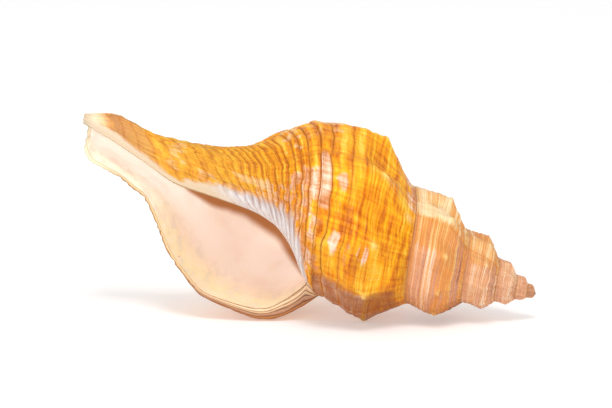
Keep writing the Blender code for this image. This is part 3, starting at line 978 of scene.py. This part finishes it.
# %% The tree that winds the shell
AXIS_RISE = math.radians(21.1)
ORIGIN = (-69.5859 * MM, 7.6008 * MM, -7.5161 * MM)  # the floor under the middle of the shell
winding = bpy.data.node_groups.new("wind_the_shell", "GeometryNodeTree")
new_socket(winding, "Geometry", "NodeSocketGeometry")
new_socket(winding, "Geometry", "NodeSocketGeometry", output=True)
new_socket(winding, "Origin", "NodeSocketVector", ORIGIN)
for name, value in (
    ("Axis Rise", AXIS_RISE), ("Mouth Up", MOUTH_UP),
    ("Groove Depth", 0.75 * MM), ("Groove Width", 0.75 * MM), ("Cord Crown", 0.25 * MM),
    ("Nodule Point", 1.7 * MM), ("Stop Depth", 0.45 * MM), ("Thread Height", 0.20 * MM),
    ("Growth Wave", 0.5 * MM), ("Seed", 3.0),
):
    new_socket(winding, name, "NodeSocketFloat", value)
for name in ("Skin", "Enamel", "Lip"):
    new_socket(winding, name, "NodeSocketMaterial")
wind = Tree(winding)
given = wind.given()


def stored(name, kind="FLOAT"):
    """An attribute that the chart carries."""
    return wind.value("GeometryNodeInputNamedAttribute", {"Name": name}, "Attribute", data_type=kind)


chart_place = wind.values(wind.node("ShaderNodeSeparateXYZ", {0: wind.value("GeometryNodeInputPosition")}))
angle = chart_place["X"] * (2 * math.pi) + math.pi
radius = chart_place["Z"]
wound = wind.join(-chart_place["Y"], -(radius * wind.math("SINE", angle)),
                  radius * wind.math("COSINE", angle) + stored("bend"))
leant = wind.value("ShaderNodeVectorRotate", {"Vector": wound, "Angle": given["Axis Rise"]},
                   rotation_type="Y_AXIS")
laid = wind.value("ShaderNodeVectorRotate", {"Vector": leant, "Angle": -given["Mouth Up"]},
                  rotation_type="X_AXIS")
smooth_shell = wind.value("GeometryNodeSetPosition", {
    "Geometry": given["Geometry"],
    "Position": wind.value("ShaderNodeVectorMath", {0: laid, 1: given["Origin"]}, operation="SUBTRACT"),
})
print("inputs of the tree:", [name for name in given if name])

# %% Grooves, threads and growth waves in the same tree
WAVES_IN_A_TURN = 34.0
WAVES_DOWN = 0.5  # waves in a row
cut = wind.ramp(stored("gap"), 0.0, given["Groove Width"], 1.0, 0.0)
grooves = cut * stored("groove") * given["Groove Depth"]
from_middle = wind.math("PINGPONG", stored("cord") + 0.5, 0.5) * 2.0
crown = from_middle * from_middle * stored("groove") * given["Cord Crown"]
sunk = stored("sink") * given["Nodule Point"] + stored("stop") * given["Stop Depth"]
thread = 0.5 - wind.math("COSINE", stored("thread") * (2 * math.pi)) * 0.5
threads = thread * stored("bare") * given["Thread Height"]
wave = wind.chart_noise(stored("age") * WAVES_IN_A_TURN, stored("row_at_point") * WAVES_DOWN,
                        given["Seed"])
waves = wind.ramp(wave, 0.35, 0.65) * given["Growth Wave"] * stored("bare")
inwards = grooves + crown + sunk + threads + waves
ribbed_shell = wind.value("GeometryNodeSetPosition", {
    "Geometry": smooth_shell,
    "Offset": wind.value("ShaderNodeVectorMath", {
        0: wind.value("GeometryNodeInputNormal"), "Scale": -inwards}, operation="SCALE"),
})

# %% A material for each part, still in the same tree
last = wind.value("GeometryNodeRealizeInstances", {"Geometry": ribbed_shell})
part_here = stored("part", "INT")
for name, parts in (("Skin", (OUTSIDE,)), ("Enamel", (GLAZED, LINING)), ("Lip", (LIP,))):
    above = wind.math("GREATER_THAN", part_here, min(parts) - 0.5)
    below = wind.math("LESS_THAN", part_here, max(parts) + 0.5)
    last = wind.value("GeometryNodeSetMaterial", {
        "Geometry": last, "Selection": above * below, "Material": given[name]})
wind.node("NodeGroupOutput", {0: last})
print("nodes that wind the shell:", len(winding.nodes))

# %% [markdown]
# ## Effects that the finishes share
#
# Growth lines cross the cords wherever the lip once stood. They are on the skin and, fainter,
# on the enamel. A fine grain is on every part. They could be built again in each material, but
# then a change would have to be made three times. So each is one node group, placed with its
# own values. A group puts out only masks; the shader itself stays in each material.

# %% Shared group: growth lines


def shader_group(name, inputs, outputs):
    """A new group with its inputs, as names and values, and the names of its outputs."""
    tree = bpy.data.node_groups.new(name, "ShaderNodeTree")
    for socket_name, value in inputs:
        kind = "NodeSocketVector" if isinstance(value, tuple) else "NodeSocketFloat"
        new_socket(tree, socket_name, kind, value)
    for socket_name in outputs:
        new_socket(tree, socket_name, "NodeSocketFloat", output=True)
    return Tree(tree)


shared = shader_group(
    "growth_lines",
    (("Turns", 0.0), ("Row", 0.0), ("Lines", 120.0), ("Wander", 0.02), ("Seed", 0.0)),
    ("Fine", "Broad"))
here = shared.given()
BROAD_SHARE = 0.22  # broad lines to a fine one
drift = shared.chart_noise(here["Turns"] * 5.0, here["Row"] * 3.0, here["Seed"]) - 0.5
line_at = (here["Turns"] + drift * here["Wander"]) * here["Lines"]
fine = shared.chart_noise(line_at, here["Row"] * 0.8, here["Seed"], detail=3.0, roughness=0.65)
broad = shared.chart_noise(line_at * BROAD_SHARE, here["Row"] * 0.3, here["Seed"] + 9.0, detail=1.0)
shared.node("NodeGroupOutput", {
    "Fine": shared.ramp(fine, 0.32, 0.68),
    "Broad": shared.ramp(broad, 0.38, 0.62)})
growth_lines = shared.tree
print("growth lines:", len(growth_lines.nodes), "nodes")

# %% Shared group: fine grain
CLOUD_SHARE = 0.12  # scale of the clouds to that of the grain
shared = shader_group("fine_grain", (("Place", (0.0, 0.0, 0.0)), ("Scale", 900.0)), ("Grain", "Cloud"))
here = shared.given()
shared.node("NodeGroupOutput", {
    "Grain": shared.noise(here["Place"], here["Scale"], 4.0, 0.6),
    "Cloud": shared.noise(here["Place"], here["Scale"] * CLOUD_SHARE, 3.0, 0.55)})
fine_grain = shared.tree
print("fine grain:", len(fine_grain.nodes), "nodes")

# %% Materials with short calls


def new_material(name):
    """A material, its tree, and what every finish of the shell reads."""
    material = bpy.data.materials.new(name)
    material.use_nodes = True
    work = Tree(material.node_tree)
    return material, work, work.attribute("turns"), work.attribute("row")


def grained(work, scale):
    """The shared grain, placed by Object coordinates."""
    place = work.value("ShaderNodeTexCoord", out="Object")
    return work.group(fine_grain, Place=place, Scale=scale)


def finish(work, values, height, depth, strength):
    """Feeds the shader, and lets height shade the surface as a relief of so many metres."""
    shader = work.tree.nodes["Principled BSDF"]
    for name, value in values.items():
        work.set(shader.inputs[name], value)
    work.set(shader.inputs["Normal"], work.value("ShaderNodeBump", {
        "Height": height, "Distance": depth, "Strength": strength}))
    print("set on the shader:", list(values), "with", len(work.tree.nodes), "nodes")


# %% [markdown]
# ## The skin
#
# The outside is amber with yellow streaks along the cords, dark brown in the grooves, partly as
# painted shade, and broken by pinkish patches that stop short at a groove or a growth line.
# Painting those by hand would slide off the ribs. Here the streaks and patches are noise in the
# chart's own numbers, so they bend round the shell with the cords. Painted shade also darkens
# the hollows between the nodules and the underside, and a painted highlight lightens the nodules.

# %% Skin colours
AMBER = ((0.24, (0.52, 0.12, 0.003)), (0.38, (0.80, 0.25, 0.004)), (0.50, (0.94, 0.38, 0.006)),
         (0.62, (1.0, 0.48, 0.010)), (0.78, (1.0, 0.66, 0.08)))
SPIRE = ((0.24, (0.47, 0.16, 0.07)), (0.36, (0.70, 0.36, 0.24)), (0.45, (0.73, 0.27, 0.07)),
         (0.55, (0.82, 0.34, 0.09)), (0.66, (0.91, 0.50, 0.17)), (0.82, (1.0, 0.76, 0.44)))
LILAC_PINK = ((0.24, (0.60, 0.24, 0.09)), (0.40, (0.76, 0.36, 0.20)), (0.53, (0.87, 0.52, 0.37)),
              (0.72, (1.0, 0.80, 0.70)))
GLAZE = ((0.25, (0.42, 0.30, 0.27)), (0.45, (0.62, 0.54, 0.54)), (0.70, (0.80, 0.77, 0.77)))
BROWN = (0.40, 0.120, 0.012)
RUST = (0.70, 0.24, 0.022)
UMBER_AND_SHADE = (0.33, 0.10, 0.025)
PLUM = (0.44, 0.20, 0.13)
NODULE_SHADE_AMBER = (0.74, 0.25, 0.008)
OLD_PINK = (0.86, 0.60, 0.47)
CANAL_ORANGE = (1.0, 0.52, 0.08)
SEAM_BROWN = (0.40, 0.16, 0.07)
THIN_LINE_TINT = (0.82, 0.44, 0.14)
GROWTH_LINE_TINT = (0.78, 0.42, 0.14)
CREAM = (1.0, 0.68, 0.24)
TIP_CREAM = (1.0, 0.80, 0.56)
PALE = (0.97, 0.76, 0.46)
CANAL_GLAZE = (0.78, 0.62, 0.44)
OLIVE = (0.34, 0.20, 0.07)

skin, paint, turn_at, row_at = new_material("shell_skin")
cord_at, gap_at, knob, gold = (paint.attribute(name) for name in ("cord_at", "gap_at", "knob", "gold"))
grain = grained(paint, 900.0)
lines = paint.group(growth_lines, Turns=turn_at, Row=row_at, Lines=150.0, Wander=0.02, Seed=2.0)
spire = paint.ramp(turn_at, 1.0, 1.06)
strip_at = cord_at * (1.0 - spire) + row_at * THREADS * spire  # cords, and threads on the spire
print("colours of the body, the spire, the patches and the glaze:",
      [len(stops) for stops in (AMBER, SPIRE, LILAC_PINK, GLAZE)])

# %% Skin: streaks along the cords and bars across them
BODY_CONTRAST = 1.5
SPIRE_CONTRAST = 1.9
streak = paint.chart_noise(turn_at * 10.0, strip_at * 2.4, 1.0, detail=5.0, roughness=0.65)
bars = paint.chart_noise(turn_at * 95.0, strip_at * 0.35, 3.0, detail=3.0, roughness=0.6)
blotch = paint.chart_noise(turn_at * 9.0, row_at * 4.0, 7.0)
stripe = paint.chart_noise(turn_at * 3.0, paint.math("ROUND", row_at * 9.0) * 3.7, 9.0, detail=1.0)
thin_stripe = paint.chart_noise(turn_at * 2.5, row_at * 24.0, 4.0)

# The nodule highlight added to both tones is a painted highlight round each nodule tip.
body_tone = streak + (bars - 0.5) * 0.38 + (blotch - 0.5) * 0.45
body_tone = (body_tone - 0.5) * BODY_CONTRAST + 0.49 + gold * 0.06 + knob * 0.24
# Lighter on the middle of each cord from wear, and darker at its sides as painted shade.
cord_wear_and_shade = paint.ramp(paint.math("PINGPONG", strip_at + 0.5, 0.5), 0.0, 0.5, 0.06, -0.06)
body_tone = body_tone + paint.ramp(row_at, 0.7, 1.4) * cord_wear_and_shade
spire_tone = streak * 0.2 + stripe * 0.38 + thin_stripe * 0.42
spire_tone = (spire_tone - 0.5) * SPIRE_CONTRAST + 0.53 + knob * 0.10 + gold * 0.15
tone = paint.mix(spire, paint.colours(body_tone, AMBER), paint.colours(spire_tone, SPIRE))

# %% Skin: patches that stop at a cord and at a growth line
half_strip = paint.math("FLOOR", strip_at * 2.0)
cell_turns = turn_at * 58.0 + paint.noise(paint.join(turn_at, strip_at, 2.0), 2.0) * 3.0
cell = paint.value("ShaderNodeTexWhiteNoise", {
    "Vector": paint.join(paint.math("FLOOR", cell_turns), half_strip, 5.0)}, noise_dimensions="3D")
block = paint.chart_noise(turn_at * 24.0, half_strip * 3.71, 5.0, detail=3.0)
patchy = block * 0.75 + cell * 0.25
cloudy = paint.chart_noise(turn_at * 40.0, strip_at * 3.0, 6.0, detail=5.0, roughness=0.7)


def zone(name, spread, breaker, low=0.36, high=0.64):
    """A zone with its edge broken by noise."""
    return paint.ramp((breaker - 0.5) * spread + paint.attribute(name), low, high)


pink_tone = paint.between(spire, (lines["Fine"] - 0.5) * 0.16 + body_tone, spire_tone)
pink_breaker = paint.between(spire, patchy, thin_stripe)
for mask, colour in (
    # Painted shade between the nodules.
    (paint.attribute("dip") * 0.22, NODULE_SHADE_AMBER),
    (zone("lilac", 1.3, pink_breaker) * paint.ramp(spire, 0.0, 1.0, 0.80, 0.55),
     paint.colours(pink_tone, LILAC_PINK)),
    (paint.ramp(turn_at, 2.2, 3.4, 0.0, 0.26), OLD_PINK),
    # Dark brown, partly the shell's own and partly painted shade on the underside.
    (zone("umber", 0.9, cloudy, 0.2, 0.9) * 0.80, UMBER_AND_SHADE),
    (zone("plum", 1.0, cloudy, 0.15, 0.65) * 0.80, PLUM),
    (zone("pale", 1.3, patchy) * 0.70, PALE),
    (paint.ramp(row_at, 3.6, 7.6) * paint.ramp(row_at, 9.8, 10.8, 0.48, 0.15), CANAL_ORANGE),
):
    tone = paint.mix(mask, tone, colour)

# %% Skin: grooves and growth lines
groove_strength = (paint.ramp(row_at, 0.55, 0.9, 0.25, 1.0)
                   * paint.ramp(row_at, 2.5, 7.0, 1.0, 0.30, "LINEAR")
                   * paint.ramp(spire, 0.0, 1.0, 1.0, 0.25)
                   * paint.ramp(cloudy, 0.25, 0.55, 0.45, 1.0))
# Painted shade spreads from each groove over the cord; the narrow dark line in the groove is partly the
# shell's brown and partly painted shade.
groove_shade = paint.ramp(gap_at, 0.10 * MM, 1.1 * MM, 0.55, 0.0) * groove_strength
groove_line_and_shade = paint.ramp(gap_at, 0.05 * MM, 0.40 * MM, 0.85, 0.0) * groove_strength
thin_lines = (paint.ramp(paint.math("PINGPONG", strip_at * 1.5, 0.5), 0.02, 0.14, 0.42, 0.0)
              * paint.ramp(cloudy, 0.35, 0.65) * paint.ramp(row_at, 5.5, 8.0, 1.0, 0.45))
growth_dark = paint.ramp(lines["Fine"], 0.0, 0.40, 1.0, 0.0) * paint.ramp(spire, 0.0, 1.0, 0.42, 0.10)
for mask, colour, blend in (
    (groove_shade, RUST, "MIX"),
    (groove_line_and_shade, BROWN, "MIX"),
    (thin_lines, THIN_LINE_TINT, "MULTIPLY"),
    (growth_dark, GROWTH_LINE_TINT, "MULTIPLY"),
    (paint.attribute("seam") * paint.ramp(cloudy, 0.2, 0.6, 0.5, 0.9), SEAM_BROWN, "MIX"),
    (paint.attribute("stop_at") * paint.ramp(patchy, 0.35, 0.6, 0.25, 0.85), RUST, "MIX"),
    (paint.attribute("cream") * 0.85, CREAM, "MIX"),
    (paint.ramp(row_at, 10.7, 11.6), TIP_CREAM, "MIX"),
):
    tone = paint.mix(mask, tone, colour, blend)

# %% Skin: the glaze beside the mouth
callus = paint.attribute("callus")
edge_noise = paint.chart_noise(turn_at * 10.0, cord_at * 1.1, 4.0, detail=4.0, roughness=0.6)
glaze_here = paint.ramp((edge_noise - 0.5) * 0.55 + callus, -0.10, 0.16)
glaze_tone = paint.chart_noise(turn_at * 9.0, cord_at * 2.2, 6.0, detail=4.0, roughness=0.6)
glaze_tone = glaze_tone + paint.ramp(gap_at, 0.0, 0.8 * MM, -0.17, 0.04)
glaze_tone = glaze_tone + paint.ramp(callus, 0.0, 0.35, -0.10, 0.08)
glaze = paint.mix(paint.ramp(row_at, 6.8, 8.2), paint.colours(glaze_tone, GLAZE), CANAL_GLAZE)
tone = paint.mix(glaze_here, tone, glaze)
canal_edge = (paint.ramp(turn_at, 0.975, 0.990) * paint.ramp(turn_at, 1.0, 1.003, 1.0, 0.0)
              * paint.ramp(row_at, 6.0, 7.5))
tone = paint.mix(canal_edge * 0.8, tone, OLIVE)

# %% Skin: surface
FINE_THREADS = 3  # to a strip, in the shading only
gloss = paint.ramp(grain["Cloud"], 0.3, 0.7, 0.24, 0.44)
fine_thread = paint.math("COSINE", strip_at * (2 * math.pi * FINE_THREADS))
height = lines["Fine"] * 0.7 + grain["Grain"] * 0.4 + fine_thread * 0.22 + bars * 0.8
height = height * paint.ramp(glaze_here, 0.0, 1.0, 1.0, 0.15)
height = height * paint.ramp(turn_at, 1.0, 4.5, 1.0, 0.22, "LINEAR")
height = height * paint.ramp(row_at, 7.0, 10.5, 1.0, 0.3)
finish(paint, {
    "Base Color": tone,
    "Roughness": paint.math("MAXIMUM", gloss, paint.ramp(groove_line_and_shade, 0.0, 0.5, 0.0, 0.75)),
    "Specular IOR Level": 0.18,
}, height, 0.34 * MM, 0.9)

# %% [markdown]
# ## The enamel
#
# Inside, the shell is lined with a smooth peach enamel that turns cream towards the canal. The
# wall is thin enough for daylight to come through. Real light through the wall is slow to
# render and its depth would have to be guessed, so the enamel glows a little instead. Painted
# brown shade darkens the lining deep in the mouth and the glazed side where it turns inwards.

# %% Enamel
PEACH = ((0.30, (0.87, 0.73, 0.61)), (0.50, (0.91, 0.79, 0.69)), (0.72, (0.95, 0.84, 0.75)))
CANAL_CREAM = (0.93, 0.92, 0.83)
WARM_PEACH = (0.84, 0.60, 0.42)
EDGE_TAN = (0.74, 0.60, 0.32)
EDGE_GREY = (0.60, 0.54, 0.47)
GROWTH_TAN = (0.84, 0.62, 0.47)
FOLD_TAN = (0.80, 0.61, 0.50)
MOUTH_SHADE_BROWN = (0.40, 0.165, 0.06)
INWARD_SHADE_BROWN = (0.60, 0.27, 0.11)
ROLLED_GREY = (0.80, 0.76, 0.72)

enamel, paint, turn_at, row_at = new_material("shell_enamel")
grain = grained(paint, 500.0)
lines = paint.group(growth_lines, Turns=turn_at, Row=row_at, Lines=60.0, Wander=0.05, Seed=4.0)
smudge = paint.chart_noise(turn_at * 30.0, row_at * 2.0, 7.0, detail=3.0)
fold = paint.chart_noise(turn_at * 22.0, row_at * 0.7, 11.0)
inward = paint.attribute("inward")
tone = paint.colours(grain["Cloud"], PEACH)
for mask, colour in (
    (paint.ramp(row_at, 6.0, 9.0), CANAL_CREAM),
    (paint.ramp(turn_at, 0.05, 0.15, 0.55, 0.0) * paint.ramp(row_at, 7.0, 9.5, 1.0, 0.2), WARM_PEACH),
    (paint.ramp(turn_at, 0.04, 0.10, 1.0, 0.0) * paint.ramp(smudge, 0.3, 0.6, 0.5, 0.95)
     * paint.ramp(row_at, 7.5, 9.5, 1.0, 0.45), EDGE_TAN),
    (paint.ramp(turn_at, 0.06, 0.12, 1.0, 0.0) * paint.ramp(smudge, 0.52, 0.62, 0.0, 0.5), EDGE_GREY),
    (lines["Broad"] * 0.16, GROWTH_TAN),
    (paint.ramp(fold, 0.48, 0.66, 0.0, 0.30), FOLD_TAN),
    # Painted shade: brown on the lining deep in the mouth.
    (paint.ramp(paint.attribute("deep"), -0.008, 0.008), MOUTH_SHADE_BROWN),
    # Painted shade: brown on the glazed side where it turns inwards, out of the light.
    (paint.ramp(inward, 0.02, 0.10) * 0.65, INWARD_SHADE_BROWN),
    (paint.ramp(inward, 0.001, 0.02, 0.5, 0.0) * paint.math("GREATER_THAN", turn_at, 0.99), ROLLED_GREY),
):
    tone = paint.mix(mask, tone, colour)
finish(paint, {
    "Base Color": tone,
    "Roughness": paint.ramp(grain["Cloud"], 0.3, 0.7, 0.22, 0.36),
    "Specular IOR Level": 0.22,
    "Emission Color": tone,
    "Emission Strength": 0.33,
}, lines["Fine"] * 0.5 + grain["Grain"], 0.1 * MM, 0.5)

# %% [markdown]
# ## The lip
#
# The lip shows the wall cut across: thin layers of white, cream and brown, one over the other.
# Each layer could be a ribbon of its own, but they are a fraction of a millimetre. So the band of the
# lip is painted by how far each spot lies across it, bent a little by noise.

# %% Lip
THICK_LAYERS = (
    (0.00, (0.32, 0.10, 0.018)), (0.14, (0.48, 0.18, 0.045)), (0.19, (0.12, 0.035, 0.01)),
    (0.25, (0.46, 0.19, 0.09)), (0.38, (0.52, 0.27, 0.14)), (0.44, (0.12, 0.04, 0.015)),
    (0.49, (0.54, 0.28, 0.13)), (0.58, (0.82, 0.54, 0.30)), (0.64, (0.20, 0.07, 0.02)),
    (0.69, (0.74, 0.43, 0.22)), (0.82, (1.0, 0.74, 0.48)), (0.88, (0.42, 0.18, 0.05)),
    (0.93, (0.92, 0.62, 0.34)), (1.00, (1.0, 0.76, 0.50)),
)
THIN_LAYERS = ((0.0, (0.34, 0.14, 0.04)), (0.35, (0.52, 0.25, 0.08)), (0.55, (0.80, 0.56, 0.28)),
               (1.0, (0.84, 0.64, 0.38)))
LIP_CREAM = (0.92, 0.74, 0.50)

# On the lip, the turns hold minus the share across, and the rows the place along it.
lip, paint, across, along = new_material("shell_lip")
grain = grained(paint, 900.0)
bend = paint.chart_noise(along * 1.6, across * 2.5, 3.0, detail=4.0)
layer = bend * 0.28 - across - 0.14
tone = paint.mix(paint.ramp(along, 5.0, 7.0),
                 paint.colours(layer, THICK_LAYERS), paint.colours(layer, THIN_LAYERS))
tone = paint.mix(paint.ramp(along, 10.0, 11.4), tone, LIP_CREAM)
finish(paint, {
    "Base Color": tone,
    "Roughness": paint.ramp(grain["Cloud"], 0.3, 0.7, 0.35, 0.55),
}, layer, 0.2 * MM, 0.8)

# %% [markdown]
# ## Winding it up
#
# The chart is still flat. The tree is put on it as a modifier, with the materials as its
# inputs, and what comes out is kept as a plain mesh, so that nothing is left to work out later.

# %% Running the tree
MATERIALS = {"Skin": skin, "Enamel": enamel, "Lip": lip}
mesh.materials.append(skin)
modifier = conch.modifiers.new("wind", "NODES")
modifier.node_group = winding
for socket in winding.interface.items_tree:
    if socket.item_type == "SOCKET" and socket.in_out == "INPUT" and socket.name in MATERIALS:
        modifier[socket.identifier] = MATERIALS[socket.name]
bpy.context.view_layer.update()
solid = bpy.data.meshes.new_from_object(
    conch.evaluated_get(bpy.context.evaluated_depsgraph_get()))
conch.modifiers.clear()
conch.data = solid
solid.shade_smooth()
wound_points = np.array([point.co for point in solid.vertices]) / MM
print("shell box, mm:", np.round(wound_points.min(axis=0), 1), np.round(wound_points.max(axis=0), 1))
print("triangles:", sum(len(face.vertices) - 2 for face in solid.polygons),
      [material.name for material in solid.materials])

# %% [markdown]
# ## The studio
#
# The shell lay on a white table under soft light. The floor glows a little, because a table in
# a real studio is lit from all around, and two broad lamps give the soft shadow below.

# %% Floor
FLOOR_HALF = 3.0
FLOOR_GREY = 0.78
FLOOR_ROUGHNESS = 0.6
FLOOR_GLOW = 0.28
WORLD_LIGHT = 0.72
WHITE = (1.0, 1.0, 1.0, 1.0)
corners = [(x * FLOOR_HALF, y * FLOOR_HALF, 0.0) for x, y in ((-1, -1), (1, -1), (1, 1), (-1, 1))]
floor_mesh = bpy.data.meshes.new("floor")
floor_mesh.from_pydata(corners, [], [(0, 1, 2, 3)])
floor = bpy.data.objects.new("floor", floor_mesh)
bpy.context.scene.collection.objects.link(floor)
table = bpy.data.materials.new("pale_table")
table.use_nodes = True
table_surface = table.node_tree.nodes["Principled BSDF"].inputs
table_surface["Base Color"].default_value = (FLOOR_GREY, FLOOR_GREY, FLOOR_GREY, 1.0)
table_surface["Roughness"].default_value = FLOOR_ROUGHNESS
table_surface["Emission Color"].default_value = WHITE
table_surface["Emission Strength"].default_value = FLOOR_GLOW
floor_mesh.materials.append(table)
print("floor, metres:", [2 * FLOOR_HALF] * 2)

# %% Lights
LIGHTS = (  # name, place, size in metres, watts
    ("key", (0.0, -0.42, 1.0), 0.35, 4.8),
    ("front", (-0.45, -1.2, 0.35), 0.6, 4.5),
)
AIM = mathutils.Vector((0.0, 0.0, 0.03))  # the middle of the shell
world = bpy.data.worlds.new("studio")
world.use_nodes = True
background = world.node_tree.nodes["Background"].inputs
background["Color"].default_value = WHITE
background["Strength"].default_value = WORLD_LIGHT
bpy.context.scene.world = world
bpy.context.scene.view_settings.view_transform = "Standard"
for name, place, width, watts in LIGHTS:
    light_data = bpy.data.lights.new(name, "AREA")
    light_data.size = width
    light_data.energy = watts
    light = bpy.data.objects.new(name, light_data)
    light.location = place
    light.rotation_euler = (AIM - mathutils.Vector(place)).to_track_quat("-Z", "Y").to_euler()
    bpy.context.scene.collection.objects.link(light)
print("lights:", [name for name, *_ in LIGHTS])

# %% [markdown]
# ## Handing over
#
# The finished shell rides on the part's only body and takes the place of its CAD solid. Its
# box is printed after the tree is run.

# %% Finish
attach(conch, "root")
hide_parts("shell")
